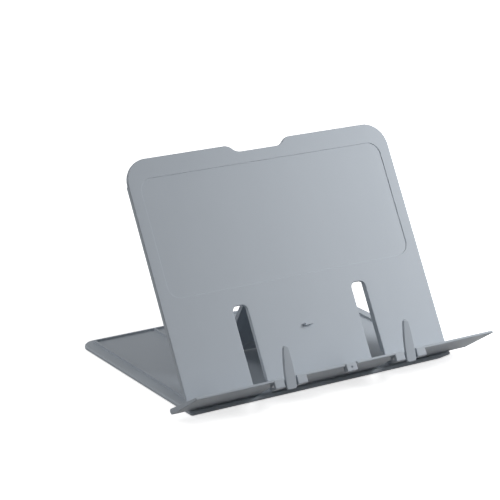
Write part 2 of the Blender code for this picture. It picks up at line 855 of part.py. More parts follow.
def make_prop(frame):
    half = prop_width / 2
    flat = prop_thickness / 2
    leg = piece(
        "prop_leg",
        block((-half, half), (-flat, flat), (-prop_length, 0.0)),
        frame,
        platinum,
    )
    join(leg, rod(knuckle_radius, -half + gap / 10, half - gap / 10, 0.0, 0.0))
    join(leg, rod(prop_foot_radius, -half - gap / 10, half + gap / 10, 0.0, -prop_length))
    field = half - prop_border
    floor = prop_web / 2
    deep = flat + overrun
    window = (-prop_length + prop_border, -prop_border)
    for y in ((-deep, -floor), (floor, deep)):
        for x in ((-field, -prop_border / 4), (prop_border / 4, field)):
            cut(leg, block(x, y, window))
    cut(leg, rod(prop_bore_radius, -half - overrun, half + overrun, 0.0, 0.0))
    cut(leg, rod(foot_bore_radius, -half - overrun, half + overrun, 0.0, -prop_length))

    reach = half + gap + foot_sleeve_length
    bar = rod(foot_rod_radius, -reach, reach, 0.0, -prop_length, pin_clearance)
    piece("prop_foot_rod", bar, frame, steel)
    for name, side in sides():
        x = span(side * (half + gap), 0.0, side * foot_sleeve_length)
        sleeve = piece(
            "prop_foot_sleeve_" + name,
            rod(prop_foot_radius, *x, 0.0, -prop_length, pin_clearance),
            frame,
            rubber,
        )
        cut(sleeve, rod(foot_bore_radius, x[0] - overrun, x[1] + overrun, 0.0, -prop_length))


# Assembly, with the origin at the bottom centre of the whole stand

def main():
    middle_y = (front_reach - base_rear) / 2
    stand = new_frame("stand_frame", None, (0.0, middle_y, 0.0), 0.0)
    backrest = new_frame("backrest_frame", stand, (0.0, 0.0, hinge_height), -lean)
    ledge = new_frame("ledge_frame", backrest, (0.0, ledge_axis_y, ledge_axis_z), 0.0)
    prop = new_frame("prop_frame", backrest, (0.0, 0.0, prop_length), 2 * lean)
    make_base(stand)
    make_backrest(backrest)
    make_ledge(ledge)
    make_prop(prop)
    for name, side in sides():
        place = (side * clip_offset, clip_pin_y, clip_pin_z)
        make_clip(name, new_frame("clip_frame_" + name, ledge, place, clip_tilt))


main()
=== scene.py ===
import json
import math

import bmesh
import bpy
import numpy as np
from mathutils import Matrix, Vector
from mathutils.geometry import tessellate_polygon


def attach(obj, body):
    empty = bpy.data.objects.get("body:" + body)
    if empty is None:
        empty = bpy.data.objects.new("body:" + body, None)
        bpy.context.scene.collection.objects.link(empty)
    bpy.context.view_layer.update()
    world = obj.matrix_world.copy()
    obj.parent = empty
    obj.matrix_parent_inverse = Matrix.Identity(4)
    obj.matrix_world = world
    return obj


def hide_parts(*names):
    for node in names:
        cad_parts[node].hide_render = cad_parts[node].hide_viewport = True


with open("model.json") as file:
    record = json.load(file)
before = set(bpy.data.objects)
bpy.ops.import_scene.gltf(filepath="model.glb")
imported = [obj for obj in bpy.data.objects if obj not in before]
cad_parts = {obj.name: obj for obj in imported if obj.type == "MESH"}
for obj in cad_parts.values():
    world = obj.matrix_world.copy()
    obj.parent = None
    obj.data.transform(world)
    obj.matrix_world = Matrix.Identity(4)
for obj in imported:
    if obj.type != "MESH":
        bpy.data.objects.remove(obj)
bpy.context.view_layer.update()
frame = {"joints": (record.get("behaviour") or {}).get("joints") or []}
print("frame loaded")

# Sizes in the dictionaries are millimetres, and each piece is worked out in its own body's frame:
# X along the ledge, Y to the back, Z up the piece, with the body's hinge axis at the origin. The
# base's origin is on the floor, straight under the tilt axis.
millimetre = 0.001
lean = math.radians(30.0)  # the backrest at rest, back from upright
clipTilt = math.radians(12.6)  # the clips at rest, forward of the backrest's slope
propLength = 88.0  # from hinge rod to foot rod, and from the tilt axis to the hinge rod
sharpAngle = 38.0  # degrees, past which an edge is an edge
weldDistance = 0.001
leastArea = 1e-9  # square millimetres, half of which is the least triangle that a cap keeps
sides = (("left", -1), ("right", 1))

# How many straight pieces an arc or a circle is made of
fineness = {
    "edge": 4, "arc": 7, "round": 48, "bore": 24, "box": 3, "hub": 16, "bead": 24, "rim": 4,
    "baseCorner": 13, "panelCorner": 10, "bracket": (8, 6), "lug": 12, "rimCorner": 6, "boss": 6,
    "dimple": 20, "taper": 12,
}


def jointSpot(name):
    # Where a joint's axis is, in millimetres
    joint = [j for j in frame["joints"] if j["name"] == name][0]
    return np.array(joint["pos_m"]) / millimetre


tiltSpot = jointSpot("backrest_tilt")
bodySpots = {
    "base": (np.array((0.0, tiltSpot[1], 0.0)), 0.0),
    "backrest": (tiltSpot, -lean),
    "ledge": (jointSpot("ledge_fold"), -lean),
    "left_clip": (jointSpot("left_clip_swing"), clipTilt - lean),
    "right_clip": (jointSpot("right_clip_swing"), clipTilt - lean),
    "prop": (jointSpot("prop_swing"), lean),
}


# Shells: (points, faces), where faces is a list of index arrays with 3 or 4 columns

def joined(*shells):
    # Several shells as one
    points = []
    faces = []
    start = 0
    for shellPoints, shellFaces in shells:
        points.append(shellPoints)
        faces += [group + start for group in shellFaces]
        start += len(shellPoints)
    return np.concatenate(points), faces


def lofted(loops, closed=False):
    # Quads between neighbouring loops. loops is (rings, points round a ring, 3).
    # The rings are closed on themselves, and closed=True also joins the last ring to the first.
    rings, count = loops.shape[:2]
    ring = np.arange(rings if closed else rings - 1)[:, None]
    along = np.arange(count)[None, :]
    here = ring * count + along
    beside = ring * count + (along + 1) % count
    above = (ring + 1) % rings * count
    quads = np.stack((here, beside, above + (along + 1) % count, above + along), -1)
    return loops.reshape(-1, 3), [quads.reshape(-1, 4)]


def capped(loops, height, up):
    # Fills the area between flat loops, the first outside and the rest holes in it
    points = np.concatenate(loops)
    corners = [[Vector((a, b, 0.0)) for a, b in loop] for loop in loops]
    faces = np.array(tessellate_polygon(corners))
    a, b, c = (points[faces[:, i]] for i in range(3))
    area = (b[:, 0] - a[:, 0]) * (c[:, 1] - a[:, 1]) - (b[:, 1] - a[:, 1]) * (c[:, 0] - a[:, 0])
    flipped = (area < 0) if up else (area > 0)
    faces[flipped] = faces[flipped][:, ::-1]
    level = np.full((len(points), 1), height)
    return np.hstack((points, level)), [faces[np.abs(area) > leastArea]]


def inset(outline, distance):
    # Every corner moves in along the mitre of its two sides' outward normals
    ahead = np.roll(outline, -1, 0) - outline
    ahead /= np.linalg.norm(ahead, axis=1)[:, None]
    normal = np.stack((ahead[:, 1], -ahead[:, 0]), 1)
    before = np.roll(normal, 1, 0)
    mitre = (normal + before) / (1.0 + (normal * before).sum(1))[:, None]
    return outline - mitre * distance


def edgeArc(radius, steps=fineness["edge"]):
    # (inset, drop) pairs of a quarter circle, from the wall to the flat
    angle = np.linspace(0.0, math.pi / 2, steps + 1)
    return np.stack((radius * (1.0 - np.cos(angle)), radius * (1.0 - np.sin(angle))), 1)


def wall(outline, rims):
    # The outline carried through (inset, height) pairs
    loops = [np.hstack((inset(outline, d), np.full((len(outline), 1), h))) for d, h in rims]
    return lofted(np.array(loops))


def plate(outline, low, high, lowEdge, highEdge, holes=(), lowPockets=(), highPockets=(), chamfer=0.0):
    # A slab: an outline's wall with rounded rims, or a chamfer above, caps, holes and blind pockets.
    # A hole is an outline, and a pocket is (outline, depth, rim radius). A pocket's floor is rounded
    # as its rim is, by a third of its depth at most.
    lowArc = [(d, low + h) for d, h in edgeArc(lowEdge)[::-1]] if lowEdge else [(0.0, low)]
    if chamfer:
        highArc = [(0.0, high - chamfer), (chamfer, high)]
    else:
        highArc = [(d, high - h) for d, h in edgeArc(highEdge)] if highEdge else [(0.0, high)]
    shells = [wall(outline, lowArc + highArc)]
    lowLoops = [inset(outline, lowArc[0][0])]
    highLoops = [inset(outline, highArc[-1][0])]
    for hole in holes:
        down = [(-d, high - h) for d, h in edgeArc(highEdge)[::-1]]
        down += [(-d, low + h) for d, h in edgeArc(lowEdge)]
        shells.append(wall(hole, down))
        highLoops.append(inset(hole, down[0][0]))
        lowLoops.append(inset(hole, down[-1][0]))
    for pockets, level, way, loops in ((highPockets, high, 1, highLoops), (lowPockets, low, -1, lowLoops)):
        for pocket, depth, radius in pockets:
            rims = [(-d, level - way * h) for d, h in edgeArc(radius)[::-1]]
            rims += [(d, level - way * (depth - h)) for d, h in edgeArc(min(radius, depth / 3))]
            points, faces = wall(pocket, rims)
            shells.append((points, [group[:, ::way] for group in faces]))
            shells.append(capped([inset(pocket, rims[-1][0])], level - way * depth, way > 0))
            loops.append(inset(pocket, rims[0][0]))
    shells.append(capped(lowLoops, low, False))
    shells.append(capped(highLoops, high, True))
    return joined(*shells)


def turned(profile, closed=False):
    # A profile of (place along the axis, radius) pairs spun round it. closed=True is for a tube's wall.
    place, radius = np.array(profile).T
    angle = np.linspace(0.0, 2 * math.pi, fineness["round"], endpoint=False)
    a = radius[:, None] * np.cos(angle)
    b = radius[:, None] * np.sin(angle)
    c = np.repeat(place[:, None], len(angle), 1)
    shell = lofted(np.stack((a, b, c), -1), closed)
    if closed:
        return shell
    ends = [np.stack((a[i], b[i]), 1) for i in (0, -1)]
    return joined(shell, capped([ends[0]], place[0], False), capped([ends[1]], place[-1], True))


def barrel(radius, bore, low, high, edge):
    # A round bar, or a tube where bore isn't zero, with rounded rims, the bore's by half as much
    rise = [(low + h, radius - d) for d, h in edgeArc(edge)[::-1]]
    fall = [(high - h, radius - d) for d, h in edgeArc(edge)]
    if not bore:
        return turned(rise + fall)
    lip = edge / 2
    inner = [(high - h, bore + d) for d, h in edgeArc(lip)[::-1]]
    inner += [(low + h, bore + d) for d, h in edgeArc(lip)]
    return turned(rise + fall + inner, True)


def roundedOutline(corners, steps=fineness["arc"]):
    # A closed outline of corners (a, b, radius), with an arc at each corner that has a radius
    spots = np.array([corner[:2] for corner in corners], float)
    points = []
    for i, corner in enumerate(corners):
        here = spots[i]
        if not corner[2]:
            points.append(here[None])
            continue
        before = spots[i - 1] - here
        after = spots[(i + 1) % len(spots)] - here
        before /= np.linalg.norm(before)
        after /= np.linalg.norm(after)
        half = math.acos(np.clip(before @ after, -1.0, 1.0)) / 2
        middle = before + after
        centre = here + middle / np.linalg.norm(middle) * corner[2] / math.sin(half)
        first = here + before * corner[2] / math.tan(half) - centre
        last = here + after * corner[2] / math.tan(half) - centre
        sweep = math.atan2(first[0] * last[1] - first[1] * last[0], first @ last)
        angle = math.atan2(first[1], first[0]) + np.linspace(0.0, sweep, steps + 1)
        points.append(centre + corner[2] * np.stack((np.cos(angle), np.sin(angle)), 1))
    return np.concatenate(points)


def box(a, b, radius=0.0):
    # The outline of a rectangle over the ranges a and b
    low, high = sorted(a)
    near, far = sorted(b)
    corners = [(low, near), (high, near), (high, far), (low, far)]
    return roundedOutline([(*corner, radius) for corner in corners], fineness["box"])


def circle(a, b, radius, steps=fineness["round"]):
    # The outline of a circle about (a, b)
    angle = np.linspace(0.0, 2 * math.pi, steps, endpoint=False)
    return np.stack((a + radius * np.cos(angle), b + radius * np.sin(angle)), 1)


def arc(a, b, radius, start, end, steps=fineness["arc"]):
    # Part of a circle about (a, b), between two angles in degrees
    angle = np.radians(np.linspace(start, end, steps + 1))
    return np.stack((a + radius * np.cos(angle), b + radius * np.sin(angle)), 1)


def pathOf(*parts):
    # Runs of points, one after another, as one outline
    return np.concatenate([np.array(part) for part in parts])


def about(centre, reach):
    # The range that reaches as far on either side of the centre
    return (centre - reach, centre + reach)


# How a shell's (a, b, c) lies in its body's frame

def facing(shell):
    # Upright: a is X, b is Z and c comes forward
    points, faces = shell
    return points[:, (0, 2, 1)] * (1.0, -1.0, 1.0), faces


def endOn(shell, y=0.0, z=0.0):
    # Lengthways: a is Y, b is Z and c is X
    points, faces = shell
    return points[:, (2, 0, 1)] + (0.0, y, z), faces


def drawnOut(outline, x, edge=0.0, holes=()):
    # An outline in Y and Z carried along the range x, with soft edges at both ends
    return endOn(plate(outline, *x, edge, edge, holes))


def bar(x, y, z, edge=0.0):
    # A box over the ranges x, y and z, with round edges where edge isn't zero
    return plate(box(x, y, edge), min(z), max(z), edge, edge)


def drill(radius, x, y, z):
    # A plain round cutter along X
    return endOn(plate(circle(0.0, 0.0, radius, fineness["bore"]), *x, 0.0, 0.0), y, z)


def meshOf(shell):
    # A mesh in metres, with the points that meet welded together
    points, faces = shell
    mesh = bpy.data.meshes.new("shell")
    corners = [face for group in faces for face in group.tolist()]
    mesh.from_pydata((points * millimetre).tolist(), [], corners)
    shape = bmesh.new()
    shape.from_mesh(mesh)
    bmesh.ops.remove_doubles(shape, verts=shape.verts, dist=weldDistance * millimetre)
    shape.to_mesh(mesh)
    shape.free()
    return mesh


def fused(whole, added=(), removed=(), softEdge=0.0):
    # One closed surface: the whole, joined with what is added and less what is removed.
    # softEdge rounds every sharp edge that is left.
    things = [bpy.data.objects.new("fused", meshOf(whole))]
    for operation, shells in (("UNION", added), ("DIFFERENCE", removed)):
        for shell in shells:
            things.append(bpy.data.objects.new("tool", meshOf(shell)))
            modifier = things[0].modifiers.new(operation.lower(), "BOOLEAN")
            modifier.operation = operation
            modifier.object = things[-1]
            modifier.solver = "EXACT"
    if softEdge:
        modifier = things[0].modifiers.new("softEdge", "BEVEL")
        modifier.width = softEdge * millimetre
        modifier.segments = 2
        modifier.limit_method = "ANGLE"
        modifier.angle_limit = math.radians(sharpAngle)
        modifier.use_clamp_overlap = False
    for thing in things:
        bpy.context.scene.collection.objects.link(thing)
    graph = bpy.context.evaluated_depsgraph_get()
    mesh = bpy.data.meshes.new_from_object(things[0].evaluated_get(graph))
    for thing in things:
        bpy.data.objects.remove(thing)
    return mesh


def addPiece(name, body, slot, mesh, node):
    # Moves the mesh from its body's frame to its place at rest, ties it to the body, and hides the solid
    # that it stands in for
    origin, turn = bodySpots[body]
    mesh.transform(Matrix.Translation(origin * millimetre) @ Matrix.Rotation(turn, 4, "X"))
    mesh.name = name
    mesh.shade_smooth()
    mesh.set_sharp_from_angle(angle=math.radians(sharpAngle))
    mesh.materials.append(finishes[slot])
    piece = bpy.data.objects.new(name, mesh)
    bpy.context.scene.collection.objects.link(piece)
    flatten = piece.modifiers.new("flatFaces", "WEIGHTED_NORMAL")
    flatten.keep_sharp = True
    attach(piece, body)
    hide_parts(node)


# Materials

def newMaterial(name):
    # A material with its nodes, its links and its shader
    material = bpy.data.materials.new(name)
    material.use_nodes = True
    nodes = material.node_tree.nodes
    return material, nodes, material.node_tree.links, nodes["Principled BSDF"]


def addNode(nodes, kind, **values):
    # A node with some of its inputs set
    node = nodes.new(kind)
    for key, value in values.items():
        node.inputs[key].default_value = value
    return node


def noise(nodes, links, place, scale, detail):
    # A cloudy 0 to 1 pattern
    node = addNode(nodes, "ShaderNodeTexNoise", Scale=scale, Detail=detail)
    links.new(place, node.inputs["Vector"])
    return node.outputs["Fac"]


def stretched(nodes, links, place, scale):
    # The place with its axes scaled, so that a pattern on it runs long
    node = addNode(nodes, "ShaderNodeMapping", Scale=scale)
    links.new(place, node.inputs["Vector"])
    return node.outputs["Vector"]


def bumped(nodes, links, height, strength, depth, under=None):
    # A normal bent by a height pattern, on top of another bent normal where under is given
    node = addNode(nodes, "ShaderNodeBump", Strength=strength, Distance=depth)
    links.new(height, node.inputs["Height"])
    if under:
        links.new(under, node.inputs["Normal"])
    return node.outputs["Normal"]


def computed(nodes, links, operation, *values):
    # One step of arithmetic on sockets and numbers
    node = nodes.new("ShaderNodeMath")
    node.operation = operation
    for slot, value in enumerate(values):
        if isinstance(value, float):
            node.inputs[slot].default_value = value
        else:
            links.new(value, node.inputs[slot])
    return node.outputs[0]


def spread(nodes, links, source, low, high):
    # Maps a 0 to 1 pattern to the range low to high
    node = addNode(nodes, "ShaderNodeMapRange", **{"To Min": low, "To Max": high})
    links.new(source, node.inputs["Value"])
    return node.outputs["Result"]


def colourMix(nodes, links, factor, first, second):
    # Runs from one colour to the other as the factor goes from 0 to 1
    mix = addNode(nodes, "ShaderNodeMix")
    mix.data_type = "RGBA"
    links.new(factor, mix.inputs["Factor"])
    for slot, colour in ((6, first), (7, second)):
        if isinstance(colour, tuple):
            mix.inputs[slot].default_value = (*colour, 1.0)
        else:
            links.new(colour, mix.inputs[slot])
    return mix.outputs[2]


platinumLook = {
    "dark": (0.425, 0.468, 0.518),
    "light": (0.470, 0.514, 0.564),
    "worn": (0.585, 0.62, 0.66),
    "roughness": (0.50, 0.62),
    "specular": 0.2,
    "cloud": (22.0, 4.0),  # patterns are (scale, detail)
    "fleck": (900.0, 2.0),
    "fleckShare": 0.35,
    "grain": (2600.0, 2.0),
    "grainBump": (0.5, 0.00002),  # bumps are (strength, height in metres)
    "waves": (60.0, 1.0),
    "wavesBump": (0.3, 0.00003),
    "rub": (70.0, 5.0),
    "rubStretch": (1.0, 0.06, 0.06),  # books slide up and down the stand, so the rubs run that way
    "rubGloss": 0.09,
    "edgeReach": 0.0007,
    "edgeSamples": 4,
    "edgeWear": (0.02, 0.22),
    "edgeGloss": -0.10,
}


def platinumPlastic():
    # Moulded satin plastic: faint clouds and fine flecks in the colour, a spark-eroded grain, slight
    # waves, glossier rubs along the way a book slides, and edges worn paler and smoother
    look = platinumLook
    material, nodes, links, shader = newMaterial("platinumPlastic")
    shader.inputs["Specular IOR Level"].default_value = look["specular"]
    place = nodes.new("ShaderNodeTexCoord").outputs["Object"]
    cloud = noise(nodes, links, place, *look["cloud"])
    blend = addNode(nodes, "ShaderNodeMix", Factor=look["fleckShare"])
    links.new(cloud, blend.inputs[2])
    links.new(noise(nodes, links, place, *look["fleck"]), blend.inputs[3])
    plain = colourMix(nodes, links, blend.outputs[0], look["dark"], look["light"])

    soft = addNode(nodes, "ShaderNodeBevel", Radius=look["edgeReach"])
    soft.samples = look["edgeSamples"]
    real = nodes.new("ShaderNodeNewGeometry")
    turn = nodes.new("ShaderNodeVectorMath")
    turn.operation = "DOT_PRODUCT"
    links.new(soft.outputs["Normal"], turn.inputs[0])
    links.new(real.outputs["Normal"], turn.inputs[1])
    away = addNode(nodes, "ShaderNodeMapRange")
    away.inputs["From Min"].default_value = 1.0 - look["edgeWear"][0]
    away.inputs["From Max"].default_value = 1.0 - look["edgeWear"][1]
    links.new(turn.outputs["Value"], away.inputs["Value"])
    edge = computed(nodes, links, "MULTIPLY", away.outputs["Result"], cloud)
    links.new(colourMix(nodes, links, edge, plain, look["worn"]), shader.inputs["Base Color"])

    rub = noise(nodes, links, stretched(nodes, links, place, look["rubStretch"]), *look["rub"])
    rough = spread(nodes, links, cloud, *look["roughness"])
    for pattern, amount in ((rub, -look["rubGloss"]), (edge, look["edgeGloss"])):
        rough = computed(nodes, links, "MULTIPLY_ADD", pattern, amount, rough)
    links.new(rough, shader.inputs["Roughness"])

    fine = bumped(nodes, links, noise(nodes, links, place, *look["grain"]), *look["grainBump"])
    waves = noise(nodes, links, place, *look["waves"])
    links.new(bumped(nodes, links, waves, *look["wavesBump"], fine), shader.inputs["Normal"])
    return material


steelLook = {
    "colour": (0.62, 0.63, 0.65),
    "roughness": (0.22, 0.38),
    "drawn": (900.0, 3.0),
    "drawnStretch": (0.02, 1.0, 1.0),
    "drawnBump": (0.2, 0.00001),
}


def brightSteel():
    # Drawn wire: fine lines along X in the gloss and the bump
    look = steelLook
    material, nodes, links, shader = newMaterial("brightSteel")
    shader.inputs["Base Color"].default_value = (*look["colour"], 1.0)
    shader.inputs["Metallic"].default_value = 1.0
    place = nodes.new("ShaderNodeTexCoord").outputs["Object"]
    lines = noise(nodes, links, stretched(nodes, links, place, look["drawnStretch"]), *look["drawn"])
    links.new(spread(nodes, links, lines, *look["roughness"]), shader.inputs["Roughness"])
    links.new(bumped(nodes, links, lines, *look["drawnBump"]), shader.inputs["Normal"])
    return material


darkLooks = {
    "blackRubber": {"dark": (0.020, 0.020, 0.021), "light": (0.040, 0.040, 0.042), "roughness": (0.7, 0.9)},
    "darkNylon": {"dark": (0.040, 0.044, 0.048), "light": (0.062, 0.066, 0.072), "roughness": (0.42, 0.6)},
}
darkGrain = {"mottle": (700.0, 3.0), "bump": (0.4, 0.00003)}


def darkMaterial(name):
    # Dark polymer with a mottled colour and gloss and a fine bump
    look = darkLooks[name]
    material, nodes, links, shader = newMaterial(name)
    place = nodes.new("ShaderNodeTexCoord").outputs["Object"]
    mottle = noise(nodes, links, place, *darkGrain["mottle"])
    colour = colourMix(nodes, links, mottle, look["dark"], look["light"])
    links.new(colour, shader.inputs["Base Color"])
    links.new(spread(nodes, links, mottle, *look["roughness"]), shader.inputs["Roughness"])
    links.new(bumped(nodes, links, mottle, *darkGrain["bump"]), shader.inputs["Normal"])
    return material


finishes = {
    "platinum_plastic": platinumPlastic(),
    "bright_steel": brightSteel(),
    "black_rubber": darkMaterial("blackRubber"),
    "dark_nylon": darkMaterial("darkNylon"),
}
print("materials made")

# Shared sizes
joint = {
    "gap": 0.3,
    "knuckleRadius": 2.6,
    "pinRadius": 1.1,
    "boreRadius": 1.35,
    "edge": 0.35,
    "pinRounding": 3.0,  # a pin's ends are rounded by its radius over this
}
bore = circle(0.0, 0.0, joint["boreRadius"], fineness["bore"])


def addPin(name, body, x, spot, node, radius=joint["pinRadius"]):
    # A round steel bar over the range x, at the spot (Y, Z), with soft ends
    shell = barrel(radius, 0.0, *x, radius / joint["pinRounding"])
    addPiece(name, body, "bright_steel", meshOf(endOn(shell, *spot)), node)


def addTube(name, body, slot, size, x, spot, node):
    # A tube over the range x, at the spot (Y, Z), with the size's radius, bore and edge
    shell = barrel(size["radius"], size["bore"], *x, size["edge"])
    addPiece(name, body, slot, meshOf(endOn(shell, *spot)), node)


# Base plate, feet and hinge pins

base = {
    "width": 276.0,
    "lead": 14.8,
    "rear": 187.0,
    "low": 1.0,
    "top": 4.2,
    "chamfer": 1.1,
    "leftCorner": 2.0,
    "rightCut": (15.0, 3.8),  # the right front corner runs back at a slant
    "rightBend": 20.0,
    "rightCorner": 1.5,
    "rearCorner": 14.0,
    "lowEdge": 0.3,
    "softEdge": 0.15,
    "ribHeight": 2.0,
    "ribWidth": 2.0,
    "ribInset": 12.0,
    "ribSunk": 1.0,  # how far the ribs and racks run down into the plate
    "innerRib": 62.5,
    "rearRib": 182.0,
    "rearRibDown": 0.4,  # the rear rib is lower than the others and a little shorter than their spread
    "rearRibIn": 0.6,
    "earAt": 98.0,
    "earWidth": 8.0,
    "earSunk": 1.5,
    "earArc": (28.0, 180.0),
    "knuckleWidth": 20.0,
    "flare": 6.0,
    "hingeHeight": 7.1,
    "footRadius": 6.5,
    "footX": 120.0,
    "footY": (3.5, 169.0),
    "footHeight": 1.6,
    "footEdge": 0.4,
    "pocketDepth": 0.9,
    "pocketEdge": 0.2,
}
rack = {
    "middle": 47.3,
    "halfWidth": 4.5,
    "top": 4.6,
    "run": 8.0,
    "notches": (60.0, 52.0, 44.0, 36.0, 28.0),  # degrees between base and prop
    "grooveRadius": 2.5,
    "depth": 0.9,
    "overrun": 1.0,
}


def notchDrills(x):
    # A round groove across the rack wherever the prop's foot can stand. The foot is twice the
    # prop's length times the cosine of its angle away from the tilt axis.
    centreZ = rack["top"] - rack["depth"] + rack["grooveRadius"]
    places = [2 * propLength * math.cos(math.radians(angle)) for angle in rack["notches"]]
    return places, [drill(rack["grooveRadius"], x, place, centreZ) for place in places]


def earOutline():
    # The barrel's arc, and a foot that flares to the back
    radius = joint["knuckleRadius"]
    height = base["hingeHeight"]
    low = base["top"] - base["earSunk"]
    around = arc(0.0, height, radius, *base["earArc"], fineness["hub"])
    foot = [(-radius, low), (radius + base["flare"], low), (radius + base["flare"], base["top"])]
    return pathOf(around, foot)


def makeBase():
    # A chamfered plate with pockets for the feet, joined with four ribs along it, one across, two
    # racks less their grooves, and four hinge ears
    half = base["width"] / 2
    cutWidth, cutDepth = base["rightCut"]
    corners = [
        (-half, -base["lead"], base["leftCorner"]),
        (half - cutWidth, -base["lead"], base["rightBend"]),
        (half, cutDepth - base["lead"], base["rightCorner"]),
        (half, base["rear"], base["rearCorner"]),
        (-half, base["rear"], base["rearCorner"]),
    ]
    outline = roundedOutline(corners, fineness["baseCorner"])
    pockets = []
    for _, side in sides:
        for y in base["footY"]:
            pad = circle(side * base["footX"], y, base["footRadius"] + joint["gap"])
            pockets.append((pad, base["pocketDepth"], base["pocketEdge"]))
    chamfer = base["chamfer"]
    slab = plate(outline, base["low"], base["top"], base["lowEdge"], 0.0, (), pockets, (), chamfer)
    shells = []
    grooves = []
    ribX = half - base["ribInset"]
    ribZ = (base["top"] - base["ribSunk"], base["top"] + base["ribHeight"])
    halfRib = base["ribWidth"] / 2
    ribLow = joint["knuckleRadius"] + base["flare"] + base["ribWidth"]
    for _, side in sides:
        for centre in (ribX, base["innerRib"]):
            x = about(side * centre, halfRib)
            shells.append(bar(x, (ribLow, base["rearRib"] - halfRib), ribZ))
        middle, wide = side * rack["middle"], rack["halfWidth"]
        over = rack["overrun"]
        places, cuts = notchDrills((middle - wide - over, middle + wide + over))
        grooves += cuts
        y = (places[0] - rack["run"], places[-1] + rack["run"])
        shells.append(bar(about(middle, wide), y, (ribZ[0], rack["top"])))
    across = ribX + halfRib - base["rearRibIn"]
    rearZ = (ribZ[0], ribZ[1] - base["rearRibDown"])
    shells.append(bar((-across, across), (base["rearRib"] - base["ribWidth"], base["rearRib"]), rearZ))
    inner = base["knuckleWidth"] / 2 + joint["gap"]
    hole = bore + (0.0, base["hingeHeight"])
    for _, side in sides:
        for low in (-inner - base["earWidth"], inner):
            x = side * base["earAt"] + low
            shells.append(drawnOut(earOutline(), (x, x + base["earWidth"]), joint["edge"], (hole,)))
    mesh = fused(slab, shells, grooves, base["softEdge"])
    addPiece("basePlate", "base", "platinum_plastic", mesh, "base_plate")

    for row, y in zip(("front", "rear"), base["footY"]):
        for name, side in sides:
            points, faces = barrel(base["footRadius"], 0.0, 0.0, base["footHeight"], base["footEdge"])
            mesh = meshOf((points + (side * base["footX"], y, 0.0), faces))
            label = row + "_" + name
            addPiece("rubberFoot_" + label, "base", "black_rubber", mesh, "rubber_foot_" + label)
    reach = inner + base["earWidth"]
    for name, side in sides:
        x = about(side * base["earAt"], reach)
        addPin("baseHingePin_" + name, "base", x, (0.0, base["hingeHeight"]), "base_hinge_pin_" + name)


# Backrest panel

panel = {
    "width": 274.0,
    "low": -4.08,
    "high": 213.92,
    "rear": 2.9,
    "front": 5.9,
    "topRadius": 22.0,
    "lowRadius": 3.0,
    "frontEdge": 0.8,
    "rearEdge": 0.4,
    "softEdge": 0.12,
    "notchWidth": 60.0,
    "notchDepth": 7.0,
    "notchRadius": 11.0,
    "fieldInset": 11.0,
    "fieldLow": 88.0,
    "fieldRadius": 12.0,
    "fieldDepth": 0.6,
    "fieldEdge": 0.3,
    "slotHalf": 7.25,
    "slotTop": 71.8,
    "slotRadius": 5.0,
    "slotMouth": 0.8,
    "sunk": 1.0,  # how far the ribs and the rod's lugs run into the panel
    "ribDepth": 2.8,
    "ribWidth": 2.2,
    "innerRib": 52.8,
    "slotRib": (0.15, 0.3),  # how far the ribs by the slots stand off them, and pass the cross rib
    "crossRibs": (80.0, 150.0),
    "crossIn": 0.1,  # a cross rib starts this far past the inner rib's middle
    "crossDown": 0.25,  # and is this much lower than the ribs it meets
    "crossTop": 0.6,  # the outer top ribs stand this far in from the ribs' ends
    "ribTop": 191.92,
    "topRib": (0.7, 0.9),  # how far the middle's top rib stands in from the ribs' ends
    "topRibIn": 0.3,
    "topRibDown": 0.4,
    "knuckleBack": -3.5,
}
rod = {
    "radius": 1.5,
    "hole": 1.75,
    "past": 1.8,  # beyond the lugs
    "lugIn": 44.3,
    "lugWidth": 5.0,
    "lugFlare": 8.0,
    "lugArc": (-60.0, 60.0),
}
cap = {"ends": (-1.5, 0.3), "radius": 2.7, "bore": 1.55, "edge": 0.4}  # its ends, from the rod's end
snapLug = {"halfWidth": 4.0, "low": 42.67, "high": 44.87, "reach": 3.4, "sunk": 1.5}
hingeLine = {
    "y": -8.8,
    "z": -5.0807,
    "sites": (-112.0, 0.0, 112.0),
    "earWidth": 8.0,
    "knuckleWidth": 24.0,
    "toe": 6.5,
    "toeStart": 3.0,  # the toe starts in front of the pin by the knuckle's radius over this
    "above": (90.0, 150.0),
    "below": (-100.0, -50.0),
    "back": (-3.4, -3.9),
}
clipPlace = {"offset": 62.5, "pinY": -42.3, "pinZ": -2.1}


def panelOutline():
    # A rectangle with round upper corners, a notch with sloping ends in its top edge, and the two
    # clip slots open at its foot
    half = panel["width"] / 2
    notch = panel["notchWidth"] / 2
    top = panel["high"]
    soft = panel["notchRadius"]
    dip = panel["notchDepth"]
    corners = [(-half, panel["low"], panel["lowRadius"])]
    for _, side in sides:
        left = side * clipPlace["offset"] - panel["slotHalf"]
        right = side * clipPlace["offset"] + panel["slotHalf"]
        for x, turn in ((left, 1), (right, -1)):
            leg = [(x, panel["low"], panel["slotMouth"]), (x, panel["slotTop"], panel["slotRadius"])]
            corners += leg[::turn]
    corners += [(half, panel["low"], panel["lowRadius"]), (half, top, panel["topRadius"])]
    corners += [(notch, top, soft), (notch - dip, top - dip, soft)]
    corners += [(dip - notch, top - dip, soft), (-notch, top, soft), (-half, top, panel["topRadius"])]
    return roundedOutline(corners, fineness["panelCorner"])


